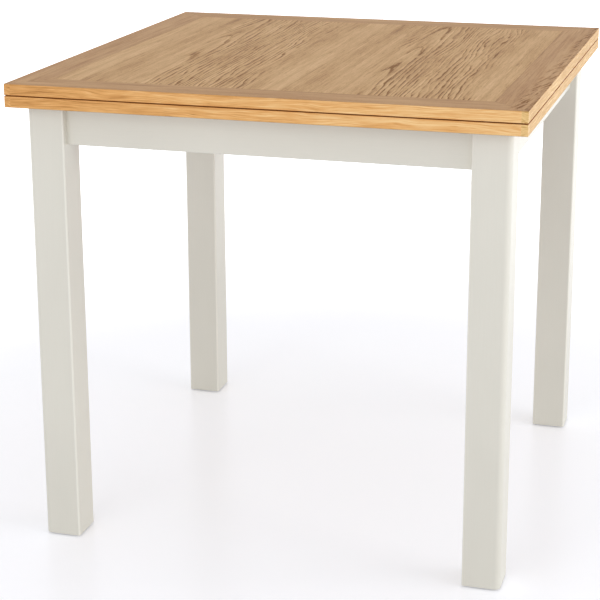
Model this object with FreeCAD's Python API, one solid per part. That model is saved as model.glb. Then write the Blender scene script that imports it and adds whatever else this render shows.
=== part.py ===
import FreeCAD, Part
import math
import os

Vec = FreeCAD.Vector

# Swivel extending table, in millimetres.
# Origin on the floor under the middle of the closed top, +X right along the front, +Y back, +Z up.

# Overall sizes
table_height = 760.0
top_side = 810.0

# Top: two equal leaves, hinged along the back edge and stacked when closed
leaf_thickness = 18.0
leaf_gap = 1.0
leaf_arris = 0.5
hinge_round = 2.5
lipping_width = 10.0
veneer_thickness = 0.6
border_width = 58.0
field_joint_shares = (0.063, 0.531)

# Legs
overhang = 25.0
leg_side = 60.0
leg_outer_round = 9.0
leg_arris = 3.0

# Aprons, set back from the leg faces
apron_height = 60.0
apron_thickness = 20.0
apron_setback = 13.0
apron_arris = 2.0
apron_top_arris = 0.5

# Dowels that join the aprons to the legs
dowel_radius = 4.0
dowel_length = 40.0
dowel_height_shares = (0.25, 0.75)

# Nail-on glides under the legs
glide_radius = 13.0
glide_height = 2.5
glide_bevel = 0.8
nail_radius = 1.5
nail_length = 16.0

# Corner blocks with hanger bolts
block_thickness = 26.0
block_height = 32.0
block_leg_gap = 3.0
block_rail_gap = 2.0
bolt_radius = 4.0
bolt_in_leg = 35.0
bolt_washer_radius = 9.0
bolt_washer_thickness = 2.0
bolt_nut_flats = 13.0
bolt_nut_height = 6.5
bolt_tail = 3.0

# Countersunk wood screws of the base
wood_screw_head_radius = 4.0
wood_screw_head_depth = 3.0
wood_screw_shank_radius = 2.0
wood_screw_tip = 4.0
block_screw_length = 25.0
block_screw_sink = 6.0
cleat_screw_length = 32.0
stop_screw_length = 32.0
stop_screw_sink = 10.0

# Pivot rail, carried on a cleat at each end
rail_width = 90.0
rail_thickness = 22.0
cleat_side = 20.0
cleat_length = 50.0
cleat_rail_inset = 4.0
cleat_screw_share = 0.34

# Swivel: plate and stud under the lower leaf, bush in the rail, washer and lock nut below
slide_gap = 2.0
plate_side = 100.0
plate_thickness = 4.0
plate_corner_round = 8.0
plate_screw_share = 0.38
plate_screw_head_radius = 4.2
plate_screw_head_depth = 2.6
plate_screw_shank_radius = 2.0
plate_screw_length = 14.0
plate_screw_tip = 3.0
stud_radius = 6.0
stud_tail = 3.0
bush_wall = 3.0
spacer_radius = 30.0
stud_washer_radius = 16.0
stud_washer_thickness = 2.5
stud_nut_flats = 19.0
stud_nut_height = 10.0

# Stops of the swivel
stop_pin_radius = 5.0
stop_pin_seat = 10.0
stop_pin_drop = 14.0
stop_pin_plate_gap = 5.0
stop_block_reach = 15.0
stop_block_length = 30.0
stop_block_height = 18.0
stop_screw_share = 0.28

# Felt pads on the aprons
pad_length = 40.0
pad_width = 14.0
pad_place_share = 0.62

# Double-pin flap hinges
hinge_place_shares = (-0.36, 0.0, 0.36)
hinge_inset = 3.0
hinge_pin_radius = 1.5
link_width = 8.0
link_end_radius = 2.7
hinge_plate_width = 40.0
hinge_plate_depth = 30.0
hinge_plate_thickness = 2.5
knuckle_depth = 11.0
knuckle_thickness = 6.5
hinge_screw_place_share = 0.3
hinge_screw_inset = 21.0
hinge_screw_head_radius = 3.5
hinge_screw_head_depth = 2.0
hinge_screw_shank_radius = 1.7
hinge_screw_length = 13.0
hinge_screw_tip = 3.0

# Clearances
running_clearance = 0.05
seat_clearance = 0.1
moving_clearance = 0.3
overrun = 5.0

# Heights and half widths that the pieces share
full_turn = 360.0
quarter_turn = 90.0
root_two = math.sqrt(2)
half_top = top_side / 2
under_top = table_height - 2 * leaf_thickness - leaf_gap
frame_top = under_top - slide_gap
lower_inner = under_top + leaf_thickness
upper_inner = lower_inner + leaf_gap
half_frame = half_top - overhang
leg_inner = half_frame - leg_side
leg_middle = half_frame - leg_side / 2
apron_outer = half_frame - apron_setback
apron_inner = apron_outer - apron_thickness
apron_middle = apron_outer - apron_thickness / 2
apron_bottom = frame_top - apron_height
rail_bottom = frame_top - rail_thickness
block_top = rail_bottom - block_rail_gap
block_middle = block_top - block_height / 2
open_seam = leaf_gap
pivot_offset = (top_side + open_seam) / 4
signs = (-1, 1)
hinged_quarter = 2
side_quarters = (1, 3)
leg_names = {(-1, -1): "front_left", (1, -1): "front_right", (-1, 1): "back_left", (1, 1): "back_right"}


# Shared forms

def slab(x0, x1, y0, y1, z0, z1):
    # Box between two corners given in any order
    corner = Vec(min(x0, x1), min(y0, y1), min(z0, z1))
    return Part.makeBox(abs(x1 - x0), abs(y1 - y0), abs(z1 - z0), corner)


def rod(radius, start, end):
    run = end.sub(start)
    return Part.makeCylinder(radius, run.Length, start, run)


def ring(outer_radius, inner_radius, start, end):
    run = end.sub(start)
    hole_start = start.sub(run)
    hole_end = end.add(run)
    return rod(outer_radius, start, end).cut(rod(inner_radius, hole_start, hole_end))


def turned(outline, base, aim):
    # Solid turned from (radius, height) points, with its axis along aim from base
    points = [Vec(radius, 0, height) for radius, height in outline]
    face = Part.Face(Part.makePolygon(points + points[:1]))
    solid = face.revolve(Vec(0, 0, 0), Vec(0, 0, 1), full_turn)
    solid.Placement = FreeCAD.Placement(base, FreeCAD.Rotation(Vec(0, 0, 1), aim))
    return solid


def hex_nut(flats, height, hole_radius, start, aim):
    # Nut standing on start, with its bore along aim
    reach = flats / math.sqrt(3)
    turns = [math.radians(full_turn * i / 6) for i in range(7)]
    outline = [Vec(reach * math.cos(turn), reach * math.sin(turn), 0) for turn in turns]
    nut = Part.Face(Part.makePolygon(outline)).extrude(Vec(0, 0, height))
    nut = nut.cut(rod(hole_radius, Vec(0, 0, -overrun), Vec(0, 0, height + overrun)))
    nut.Placement = FreeCAD.Placement(start, FreeCAD.Rotation(Vec(0, 0, 1), aim))
    return nut


def rounded_prism(along, a0, a1, b0, b1, radii, c0, c1):
    # Prism along one axis over a rectangle whose corners, from (a0, b0) round, have their own radii
    spots = {"x": lambda a, b: Vec(c0, a, b),
             "y": lambda a, b: Vec(a, c0, b),
             "z": lambda a, b: Vec(a, b, c0)}
    runs = {"x": Vec(c1 - c0, 0, 0), "y": Vec(0, c1 - c0, 0), "z": Vec(0, 0, c1 - c0)}
    spot = spots[along]
    corners = ((a0, b0, 1, 1), (a1, b0, -1, 1), (a1, b1, -1, -1), (a0, b1, 1, -1))
    arcs = []
    for index, (a, b, inward_a, inward_b) in enumerate(corners):
        radius = radii[index]
        on_b_side = spot(a, b + inward_b * radius)
        on_a_side = spot(a + inward_a * radius, b)
        dip = radius - radius / root_two
        middle = spot(a + inward_a * dip, b + inward_b * dip)
        start, end = (on_b_side, on_a_side) if index % 2 == 0 else (on_a_side, on_b_side)
        arcs.append((start, middle, end))
    edges = []
    for index, (start, middle, end) in enumerate(arcs):
        before = arcs[index - 1][2]
        edges.append(Part.LineSegment(before, start).toShape())
        if radii[index] > 0:
            edges.append(Part.Arc(start, middle, end).toShape())
    return Part.Face(Part.Wire(edges)).extrude(runs[along])


def screw(head_radius, head_depth, shank_radius, tip, length, top, aim):
    # Countersunk screw with its head flush at top
    outline = [(0, 0), (head_radius, 0), (shank_radius, head_depth),
               (shank_radius, length - tip), (0, length)]
    return turned(outline, top, aim)


def screw_hole(head_radius, head_depth, shank_radius, length, sink, top, aim):
    # Hole for such a screw, open above its head by sink
    wide = head_radius + seat_clearance
    narrow = shank_radius + seat_clearance
    deep = length + seat_clearance
    outline = [(0, -sink), (wide, -sink), (wide, 0), (narrow, head_depth), (narrow, deep), (0, deep)]
    return turned(outline, top, aim)


def wood_screw(length, top, aim):
    return screw(wood_screw_head_radius, wood_screw_head_depth, wood_screw_shank_radius, wood_screw_tip,
                 length, top, aim)


def wood_screw_hole(length, sink, top, aim):
    return screw_hole(wood_screw_head_radius, wood_screw_head_depth, wood_screw_shank_radius,
                      length, sink, top, aim)


def save(node, *shapes):
    solids = [solid for shape in shapes for solid in shape.Solids]
    whole = solids[0] if len(solids) == 1 else Part.makeCompound(solids)
    whole.exportStep("parts/" + node + ".step")


os.makedirs("parts", exist_ok=True)


# Dowels: two at each end of each apron, half in the apron and half in the leg

def dowel_ends(reach):
    ends = []
    for share in dowel_height_shares:
        z = apron_bottom + share * apron_height
        for sx in signs:
            for sy in signs:
                ends.append((Vec(sx * (leg_inner - reach), sy * apron_middle, z),
                             Vec(sx * (leg_inner + reach), sy * apron_middle, z)))
                ends.append((Vec(sx * apron_middle, sy * (leg_inner - reach), z),
                             Vec(sx * apron_middle, sy * (leg_inner + reach), z)))
    return ends


dowels = [rod(dowel_radius, start, end) for start, end in dowel_ends(dowel_length / 2)]
dowel_holes = [rod(dowel_radius + seat_clearance, start, end)
               for start, end in dowel_ends(dowel_length / 2 + seat_clearance)]
save("apron_dowels", *dowels)


# Corner blocks, hanger bolts and their screws

block_near = 2 * leg_inner - block_leg_gap * root_two - apron_inner
block_far = block_near - block_thickness * root_two
block_screw_y = (block_near + block_far) / 2
block_screw_x = apron_inner + block_far - block_screw_y + block_screw_sink


def diagonal_point(sx, sy, distance):
    # Point on a corner's diagonal, at a distance from the leg's inner corner towards the middle
    across = leg_inner - distance / root_two
    return Vec(sx * across, sy * across, block_middle)


def corner_block(sx, sy):
    outline = [(apron_inner, block_near), (apron_inner, block_far), (block_far, apron_inner),
               (block_near, apron_inner), (apron_inner, block_near)]
    points = [Vec(sx * x, sy * y, block_top - block_height) for x, y in outline]
    return Part.Face(Part.makePolygon(points)).extrude(Vec(0, 0, block_height))


block_face = block_leg_gap + block_thickness
washer_face = block_face + bolt_washer_thickness
nut_face = washer_face + bolt_nut_height
bolts, bolt_holes, bolt_washers, bolt_nuts = [], [], [], []
block_screws, block_screw_holes = [], []
for sx in signs:
    for sy in signs:
        in_leg = diagonal_point(sx, sy, -bolt_in_leg)
        hole_end = diagonal_point(sx, sy, -bolt_in_leg - seat_clearance)
        on_block = diagonal_point(sx, sy, block_face)
        on_washer = diagonal_point(sx, sy, washer_face)
        tail = diagonal_point(sx, sy, nut_face + bolt_tail)
        bolts.append(rod(bolt_radius, in_leg, tail))
        bolt_holes.append(rod(bolt_radius + seat_clearance, hole_end, tail))
        bolt_washers.append(ring(bolt_washer_radius, bolt_radius + seat_clearance, on_block, on_washer))
        bolt_nuts.append(hex_nut(bolt_nut_flats, bolt_nut_height, bolt_radius + seat_clearance,
                                 on_washer, Vec(-sx, -sy, 0)))
        for top, aim in ((Vec(sx * block_screw_x, sy * block_screw_y, block_middle), Vec(sx, 0, 0)),
                         (Vec(sx * block_screw_y, sy * block_screw_x, block_middle), Vec(0, sy, 0))):
            block_screws.append(wood_screw(block_screw_length, top, aim))
            block_screw_holes.append(
                wood_screw_hole(block_screw_length, block_screw_sink + overrun, top, aim))
for sx in signs:
    for sy in signs:
        save("corner_block_" + leg_names[sx, sy], corner_block(sx, sy).cut(bolt_holes + block_screw_holes))
save("hanger_bolts", *bolts)
save("hanger_bolt_washers", *bolt_washers)
save("hanger_bolt_nuts", *bolt_nuts)
save("corner_block_screws", *block_screws)


# Legs and their glides

def glide(sx, sy):
    nail_top = glide_height + nail_length
    outline = [(0, 0), (glide_radius - glide_bevel, 0), (glide_radius, glide_bevel),
               (glide_radius, glide_height), (nail_radius, glide_height),
               (nail_radius, nail_top), (0, nail_top)]
    return turned(outline, Vec(sx * leg_middle, sy * leg_middle, 0), Vec(0, 0, 1))


def leg(sx, sy):
    corners = ((-1, -1), (1, -1), (1, 1), (-1, 1))
    radii = [leg_outer_round if corner == (sx, sy) else leg_arris for corner in corners]
    half = leg_side / 2
    x, y = sx * leg_middle, sy * leg_middle
    post = rounded_prism("z", x - half, x + half, y - half, y + half, radii, glide_height, frame_top)
    nail_hole = rod(nail_radius + seat_clearance, Vec(x, y, 0),
                    Vec(x, y, glide_height + nail_length + seat_clearance))
    return post.cut(dowel_holes + bolt_holes + [nail_hole])


for sx in signs:
    for sy in signs:
        save("leg_" + leg_names[sx, sy], leg(sx, sy))
save("foot_glides", *[glide(sx, sy) for sx in signs for sy in signs])


# Pivot rail with its cleats, bush and spacer

rail_left = pivot_offset - rail_width / 2
rail_right = pivot_offset + rail_width / 2
cleat_left = rail_left + cleat_rail_inset
cleat_middle = cleat_left + cleat_length / 2
pivot_at_rail = Vec(pivot_offset, pivot_offset, rail_bottom)
pivot_at_frame = Vec(pivot_offset, pivot_offset, frame_top)
pivot_at_leaf = Vec(pivot_offset, pivot_offset, under_top)
bush_radius = stud_radius + bush_wall


def rail_cleat(sy):
    return slab(cleat_left, cleat_left + cleat_length, sy * (apron_inner - cleat_side), sy * apron_inner,
                rail_bottom - cleat_side, rail_bottom)


cleat_screw_seats = []
for sy in signs:
    cleat_y = sy * (apron_inner - cleat_side / 2)
    for side in signs:
        screw_x = cleat_middle + side * cleat_screw_share * cleat_length
        cleat_screw_seats.append((Vec(screw_x, cleat_y, rail_bottom - cleat_side), Vec(0, 0, 1)))
    face_seat = Vec(cleat_middle, sy * (apron_inner - cleat_side), rail_bottom - cleat_side / 2)
    cleat_screw_seats.append((face_seat, Vec(0, sy, 0)))
cleat_screws = [wood_screw(cleat_screw_length, top, aim) for top, aim in cleat_screw_seats]
cleat_screw_holes = [wood_screw_hole(cleat_screw_length, overrun, top, aim)
                     for top, aim in cleat_screw_seats]

# Stop pin touches the rail's side when closed, and the stop block after a quarter turn
pin_offset = rail_width / 2 + moving_clearance + stop_pin_radius
pin_reach = plate_side / 2 + stop_pin_plate_gap + stop_pin_radius
stop_front = pivot_offset + pin_offset + stop_pin_radius + moving_clearance
stop_back = stop_front + stop_block_length
stop_outer = pivot_offset + pin_reach + stop_block_reach
stop_screw_seats = []
for side in signs:
    screw_y = (stop_front + stop_back) / 2 + side * stop_screw_share * stop_block_length
    stop_screw_seats.append(Vec(stop_outer - stop_screw_sink, screw_y, frame_top - stop_block_height / 2))
stop_screws = [wood_screw(stop_screw_length, seat, Vec(-1, 0, 0)) for seat in stop_screw_seats]
stop_screw_holes = [wood_screw_hole(stop_screw_length, stop_screw_sink + overrun, seat, Vec(-1, 0, 0))
                    for seat in stop_screw_seats]
stop_block = slab(rail_right, stop_outer, stop_front, stop_back, frame_top - stop_block_height, frame_top)

pivot_rail = slab(rail_left, rail_right, -apron_inner, apron_inner, rail_bottom, frame_top)
bush_hole = rod(bush_radius + seat_clearance, pivot_at_rail.sub(Vec(0, 0, overrun)),
                pivot_at_frame.add(Vec(0, 0, overrun)))
save("pivot_rail", pivot_rail.cut([bush_hole] + cleat_screw_holes + stop_screw_holes))
save("rail_cleat_front", rail_cleat(-1).cut(cleat_screw_holes))
save("rail_cleat_back", rail_cleat(1).cut(cleat_screw_holes))
save("rail_cleat_screws", *cleat_screws)
save("stop_block", stop_block.cut(stop_screw_holes))
save("stop_block_screws", *stop_screws)
save("pivot_bush", ring(bush_radius, stud_radius + running_clearance, pivot_at_rail, pivot_at_frame))
save("pivot_spacer", ring(spacer_radius, stud_radius + moving_clearance, pivot_at_frame, pivot_at_leaf))


# Aprons with eased lower edges, and the felt pads on top of them

def front_apron(sy):
    low, high = sorted((sy * apron_inner, sy * apron_outer))
    radii = (apron_arris, apron_arris, apron_top_arris, apron_top_arris)
    return rounded_prism("x", low, high, apron_bottom, frame_top, radii, -leg_inner, leg_inner)


def side_apron(sx):
    low, high = sorted((sx * apron_inner, sx * apron_outer))
    radii = (apron_arris, apron_arris, apron_top_arris, apron_top_arris)
    return rounded_prism("y", low, high, apron_bottom, frame_top, radii, -leg_inner, leg_inner)


apron_cuts = dowel_holes + block_screw_holes + cleat_screw_holes
save("apron_front", front_apron(-1).cut(apron_cuts))
save("apron_back", front_apron(1).cut(apron_cuts))
save("apron_left", side_apron(-1).cut(apron_cuts))
save("apron_right", side_apron(1).cut(apron_cuts))

pads = []
for side in signs:
    for end in signs:
        along = end * pad_place_share * leg_inner
        across = side * apron_middle
        pads.append(slab(along - pad_length / 2, along + pad_length / 2, across - pad_width / 2,
                         across + pad_width / 2, frame_top, under_top))
        pads.append(slab(across - pad_width / 2, across + pad_width / 2, along - pad_length / 2,
                         along + pad_length / 2, frame_top, under_top))
save("slide_pads", *pads)


# Swivel hardware that turns with the lower leaf

washer_bottom = pivot_at_rail.sub(Vec(0, 0, stud_washer_thickness))
nut_bottom = washer_bottom.sub(Vec(0, 0, stud_nut_height))
stud_bottom = nut_bottom.sub(Vec(0, 0, stud_tail))
plate_screw_offset = plate_screw_share * plate_side
plate_screw_tops = [pivot_at_leaf.add(Vec(sx * plate_screw_offset, sy * plate_screw_offset, 0))
                    for sx in signs for sy in signs]
plate_screw_sizes = (plate_screw_head_radius, plate_screw_head_depth, plate_screw_shank_radius)
plate_screws = [screw(*plate_screw_sizes, plate_screw_tip, plate_screw_length, top, Vec(0, 0, 1))
                for top in plate_screw_tops]
plate_screw_holes = [screw_hole(*plate_screw_sizes, plate_screw_length, overrun, top, Vec(0, 0, 1))
                     for top in plate_screw_tops]


def square_plate(half, corner_round, z0, z1):
    low, high = pivot_offset - half, pivot_offset + half
    return rounded_prism("z", low, high, low, high, [corner_round] * 4, z0, z1)


swivel_plate = square_plate(plate_side / 2, plate_corner_round, under_top, under_top + plate_thickness)
swivel_plate = swivel_plate.fuse(rod(stud_radius, stud_bottom, pivot_at_leaf)).removeSplitter()
plate_recess = square_plate(plate_side / 2 + seat_clearance, plate_corner_round, under_top - overrun,
                            under_top + plate_thickness)
save("swivel_plate", swivel_plate.cut(plate_screw_holes))
save("swivel_plate_screws", *plate_screws)
save("pivot_washer", ring(stud_washer_radius, stud_radius + seat_clearance, pivot_at_rail, washer_bottom))
save("pivot_lock_nut", hex_nut(stud_nut_flats, stud_nut_height, stud_radius + seat_clearance,
                               washer_bottom, Vec(0, 0, -1)))

pin_x = pivot_offset + pin_offset
pin_y = pivot_offset - pin_reach
pin_bottom = Vec(pin_x, pin_y, frame_top - stop_pin_drop)
pin_top = Vec(pin_x, pin_y, under_top + stop_pin_seat)
pin_hole = rod(stop_pin_radius + seat_clearance, pin_bottom, pin_top)
save("stop_pin", rod(stop_pin_radius, pin_bottom, pin_top))


# Hinges: a plate let into each leaf's inner face, and a link on two pins between the plates

hinge_y = half_top - hinge_inset
hinge_places = [share * top_side for share in hinge_place_shares]
hinge_screw_sizes = (hinge_screw_head_radius, hinge_screw_head_depth, hinge_screw_shank_radius)


def hinge_pin(x, z, radius):
    half = hinge_plate_width / 2
    return rod(radius, Vec(x - half, hinge_y, z), Vec(x + half, hinge_y, z))


def hinge_screw_tops(inner_z):
    offset = hinge_screw_place_share * hinge_plate_width
    return [Vec(x + side * offset, half_top - hinge_screw_inset, inner_z)
            for x in hinge_places for side in signs]


def hinge_plate(x, inner_z, outward, sides):
    # Thin plate and thicker knuckle at the edge, grown on its sides to make its recess
    half = hinge_plate_width / 2 + sides
    plate_back = half_top - hinge_plate_depth - sides
    knuckle_back = half_top - knuckle_depth - sides
    plate_floor = inner_z + outward * hinge_plate_thickness
    knuckle_floor = inner_z + outward * knuckle_thickness
    plate = slab(x - half, x + half, plate_back, half_top, inner_z, plate_floor)
    knuckle = slab(x - half, x + half, knuckle_back, half_top, inner_z, knuckle_floor)
    return plate.fuse(knuckle).removeSplitter()


def link_slot(x, inner_z):
    # Room for the link to swing, open at the leaf's edge and both faces of the knuckle
    half = link_width / 2 + moving_clearance
    back = hinge_y - link_end_radius - moving_clearance
    reach = knuckle_thickness + overrun
    return slab(x - half, x + half, back, half_top + overrun, inner_z - reach, inner_z + reach)


def hinge_link(x):
    half = link_width / 2
    low, high = lower_inner - hinge_inset, upper_inner + hinge_inset
    link = slab(x - half, x + half, hinge_y - link_end_radius, hinge_y + link_end_radius, low, high)
    for z in (low, high):
        link = link.fuse(rod(link_end_radius, Vec(x - half, hinge_y, z), Vec(x + half, hinge_y, z)))
    link = link.removeSplitter()
    holes = [hinge_pin(x, z, hinge_pin_radius + running_clearance) for z in (low, high)]
    return link.cut(holes)


save("hinge_links", *[hinge_link(x) for x in hinge_places])


# Leaves: core board, solid lippings, mitred border and field veneers, eased arrises

def edge_radii(outward, hinged):
    # Rounds of a leaf's low and high arris along one edge: the inner one at the hinge is larger
    inner_round = hinge_round if hinged else leaf_arris
    return (inner_round, leaf_arris) if outward > 0 else (leaf_arris, inner_round)


def leaf_span(inner_z, outward):
    return sorted((inner_z, inner_z + outward * leaf_thickness))


def leaf_block(inner_z, outward):
    # Whole outline of a leaf
    low, high = leaf_span(inner_z, outward)
    front_low, front_high = edge_radii(outward, False)
    back_low, back_high = edge_radii(outward, True)
    profile = (front_low, back_low, back_high, front_high)
    lengthwise = rounded_prism("x", -half_top, half_top, low, high, profile, -half_top, half_top)
    crosswise = rounded_prism("y", -half_top, half_top, low, high, [leaf_arris] * 4, -half_top, half_top)
    return lengthwise.common(crosswise)


def field_veneers(z0, z1):
    # Leaves of one width laid from the right, and a narrow one that makes up the rest
    half = half_top - border_width
    joints = [(2 * share - 1) * half for share in (0, *field_joint_shares, 1)]
    return [slab(x0, x1, -half, half, z0, z1) for x0, x1 in zip(joints, joints[1:])]


def border_veneers(inner_z, outward, z0, z1):
    # Mitred strips with the leaf's own arris along the outer edge, from the front round.
    # The tips of the side strips share the larger round of the edge at the hinge.
    low, high = leaf_span(inner_z, outward)
    inner = half_top - border_width
    outline = [(-half_top, -half_top), (half_top, -half_top), (inner, -inner), (-inner, -inner),
               (-half_top, -half_top)]
    mitred = Part.Face(Part.makePolygon([Vec(x, y, min(z0, z1)) for x, y in outline]))
    mitred = mitred.extrude(Vec(0, 0, abs(z1 - z0)))
    back_low, back_high = edge_radii(outward, True)
    limit_radii = (0, back_low, back_high, 0)
    back_limit = rounded_prism("x", -half_top, half_top, low, high, limit_radii, -half_top, half_top)
    strips = []
    for quarter in range(4):
        round_low, round_high = edge_radii(outward, quarter == hinged_quarter)
        radii = (round_low, 0, 0, round_high)
        bar = rounded_prism("x", -half_top, 0, low, high, radii, -half_top, half_top)
        strip = bar.common(mitred)
        strip.rotate(Vec(0, 0, 0), Vec(0, 0, 1), quarter * quarter_turn)
        strips.append(strip.common(back_limit) if quarter in side_quarters else strip)
    return strips


def save_leaf(name, inner_z, outward, outer_is_show_face, underside_cuts):
    block = leaf_block(inner_z, outward)
    outer_z = inner_z + outward * leaf_thickness
    inner_bed = inner_z + outward * veneer_thickness
    outer_bed = outer_z - outward * veneer_thickness
    inside = half_top - lipping_width
    pin_z = inner_z + outward * hinge_inset

    screws = [screw(*hinge_screw_sizes, hinge_screw_tip, hinge_screw_length, top, Vec(0, 0, outward))
              for top in hinge_screw_tops(inner_z)]
    screw_holes = [screw_hole(*hinge_screw_sizes, hinge_screw_length, overrun, top, Vec(0, 0, outward))
                   for top in hinge_screw_tops(inner_z)]
    recesses = [hinge_plate(x, inner_z, outward, seat_clearance) for x in hinge_places]
    pin_holes = [hinge_pin(x, pin_z, hinge_pin_radius + running_clearance) for x in hinge_places]
    slots = [link_slot(x, inner_z) for x in hinge_places]
    plates = [hinge_plate(x, inner_z, outward, 0).common(block).cut(pin_holes + slots + screw_holes)
              for x in hinge_places]
    save(name + "_hinge_plates", *plates)
    save(name + "_hinge_screws", *screws)
    save(name + "_hinge_pins", *[hinge_pin(x, pin_z, hinge_pin_radius) for x in hinge_places])

    cuts = recesses + screw_holes + underside_cuts
    core = slab(-inside, inside, -inside, inside, inner_bed, outer_bed)
    save(name + "_core", core.cut(cuts))
    sides = {"left": (-half_top, -inside, -half_top, half_top),
             "right": (inside, half_top, -half_top, half_top),
             "front": (-inside, inside, -half_top, -inside),
             "back": (-inside, inside, inside, half_top)}
    for side, (x0, x1, y0, y1) in sides.items():
        lipping = block.common(slab(x0, x1, y0, y1, inner_bed, outer_bed))
        save(name + "_lipping_" + side, lipping.cut(cuts))
    save(name + "_inner_field", *field_veneers(inner_z, inner_bed))
    inner_border = border_veneers(inner_z, outward, inner_z, inner_bed)
    save(name + "_inner_border", *[strip.cut(cuts) for strip in inner_border])
    if outer_is_show_face:
        save(name + "_face_field", *field_veneers(outer_bed, outer_z))
        save(name + "_face_border", *border_veneers(inner_z, outward, outer_bed, outer_z))
    else:
        sheet = block.common(slab(-half_top, half_top, -half_top, half_top, outer_bed, outer_z))
        save(name + "_balancer", sheet.cut(cuts))


save_leaf("lower", lower_inner, -1, False, [plate_recess, pin_hole] + plate_screw_holes)
save_leaf("upper", upper_inner, 1, True, [])
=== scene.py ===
import bpy
import math
from mathutils import Euler, Matrix, Vector


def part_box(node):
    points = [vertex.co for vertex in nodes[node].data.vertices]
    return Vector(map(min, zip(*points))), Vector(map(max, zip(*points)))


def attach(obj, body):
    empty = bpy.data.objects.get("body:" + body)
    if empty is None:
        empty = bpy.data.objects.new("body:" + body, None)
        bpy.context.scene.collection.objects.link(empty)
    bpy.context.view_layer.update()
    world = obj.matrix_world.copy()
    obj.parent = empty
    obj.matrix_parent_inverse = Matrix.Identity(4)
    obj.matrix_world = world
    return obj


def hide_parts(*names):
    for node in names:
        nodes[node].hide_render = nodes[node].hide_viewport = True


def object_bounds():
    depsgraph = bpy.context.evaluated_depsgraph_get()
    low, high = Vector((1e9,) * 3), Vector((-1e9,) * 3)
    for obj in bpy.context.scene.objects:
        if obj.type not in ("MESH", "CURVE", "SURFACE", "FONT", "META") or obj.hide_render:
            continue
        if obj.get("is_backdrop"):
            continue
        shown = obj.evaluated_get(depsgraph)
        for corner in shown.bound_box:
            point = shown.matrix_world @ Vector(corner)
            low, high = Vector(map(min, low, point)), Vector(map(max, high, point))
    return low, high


# Swivel extending table: oak fold-over top on a painted base.
# The frame gives every solid; here they get their finishes, and the small parts their detail.

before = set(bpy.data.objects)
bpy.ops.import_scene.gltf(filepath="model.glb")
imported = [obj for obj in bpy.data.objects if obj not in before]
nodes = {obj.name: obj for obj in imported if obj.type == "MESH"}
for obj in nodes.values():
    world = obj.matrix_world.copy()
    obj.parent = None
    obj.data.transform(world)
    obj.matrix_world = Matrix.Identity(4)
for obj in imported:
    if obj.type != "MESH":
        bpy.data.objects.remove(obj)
cadLow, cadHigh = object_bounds()
print("frame loaded:", len(nodes), "nodes")

mm = 0.001
topEdge = cadHigh[0] / mm  # the square top reaches this far out each way


def boxOf(name):
    # lowest and highest corner of a node, in mm
    low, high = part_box(name)
    return low / mm, high / mm


def middleOf(name):
    low, high = boxOf(name)
    return (low + high) / 2


# colours and nodes

def linear(hexColour):
    channels = [int(hexColour[i:i + 2], 16) / 255 for i in (1, 3, 5)]
    return [c / 12.92 if c <= 0.04045 else ((c + 0.055) / 1.055) ** 2.4 for c in channels] + [1.0]


def addNode(tree, kind, inputs=(), stops=(), to=None, **settings):
    node = tree.nodes.new("ShaderNode" + kind)
    for name, value in settings.items():
        setattr(node, name, value)
    for socket, value in inputs.items() if isinstance(inputs, dict) else enumerate(inputs):
        source = value.outputs[0] if isinstance(value, bpy.types.Node) else value
        if isinstance(source, bpy.types.NodeSocket):
            tree.links.new(source, node.inputs[socket])
        elif source is not None:
            node.inputs[socket].default_value = source
    for index, (place, colour) in enumerate(stops):
        elements = node.color_ramp.elements
        stop = elements[index] if index < 2 else elements.new(place)
        stop.position = place
        stop.color = linear(colour) if isinstance(colour, str) else (colour, colour, colour, 1.0)
    if to:
        tree.links.new(node.outputs[0], to)
    return node


def newMaterial(name, **sockets):
    material = bpy.data.materials.new(name)
    material.use_nodes = True
    tree = material.node_tree
    shader = tree.nodes["Principled BSDF"]
    for socket, value in sockets.items():
        shader.inputs[socket].default_value = value
    return material, tree, shader


def millimetres(tree):
    place = addNode(tree, "TexCoord").outputs["Object"]
    scaled = addNode(tree, "VectorMath", {0: place, "Scale": 1 / mm}, operation="SCALE")
    return addNode(tree, "SeparateXYZ", [scaled]).outputs


def grain(tree, spot, size, detail, cut, spread):
    # noise drawn out along the grain, cut to a band that is then spread between two values
    place = addNode(tree, "CombineXYZ", spot)
    stretched = addNode(tree, "VectorMath", [place, size], operation="DIVIDE")
    noise = addNode(tree, "TexNoise", {"Vector": stretched, "Scale": 1.0, "Detail": detail})
    return addNode(tree, "MapRange", [noise, *cut, *spread])


def surface(tree, shader, sheen, height, relief):
    # roughness from a value, its two ends and the roughness at each; relief as depth in mm and strength
    depth, strength = relief
    addNode(tree, "MapRange", sheen, to=shader.inputs["Roughness"])
    addNode(tree, "Bump", {"Height": height, "Distance": depth * mm, "Strength": strength},
            to=shader.inputs["Normal"])


# In the finishes below, a layer of grain is its size across, along and down the grain in mm, its detail,
# the band of the noise that is kept, and the values between which that band is spread. Pores, fibres,
# flecks, scratches and moulded textures are drawn coarser than life, so that they show in the render.

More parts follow.
